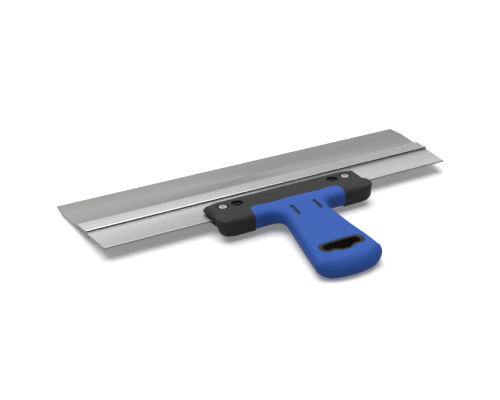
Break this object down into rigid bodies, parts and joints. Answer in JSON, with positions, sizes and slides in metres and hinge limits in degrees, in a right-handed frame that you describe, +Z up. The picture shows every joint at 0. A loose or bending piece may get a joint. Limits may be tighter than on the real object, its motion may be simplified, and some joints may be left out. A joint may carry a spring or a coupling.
{
  "type": "flexible putty knife",
  "caption": "Wide flexible putty knife: thin spring steel blade in an aluminium back profile, with a two-component T handle that has a hang hole.",
  "frame": {"origin": "middle of the footprint on the surface that the knife lies on, blade edge in front and grip end behind", "axes": "+X along the working edge, +Y from the grip towards the working edge, +Z up, away from the surface"},
  "size_m": [0.35, 0.2044, 0.0216],
  "materials": {
    "spring_steel": "fine brushed along the blade, satin",
    "back_aluminium": "matte anodised extrusion",
    "hard_plastic": "fine spark-eroded texture",
    "soft_plastic": "matte soft-touch",
    "rivet_aluminium": "satin",
    "mandrel_steel": "zinc plated",
    "washer_steel": "zinc plated"
  },
  "bodies": {
    "root": {"blade": "spring_steel", "back_profile": "back_aluminium", "handle_core": "hard_plastic", "soft_grip": "soft_plastic", "rivet_left": "rivet_aluminium", "rivet_right": "rivet_aluminium", "mandrel_left": "mandrel_steel", "mandrel_right": "mandrel_steel", "washer_left": "washer_steel", "washer_right": "washer_steel"}
  },
  "joints": []
}
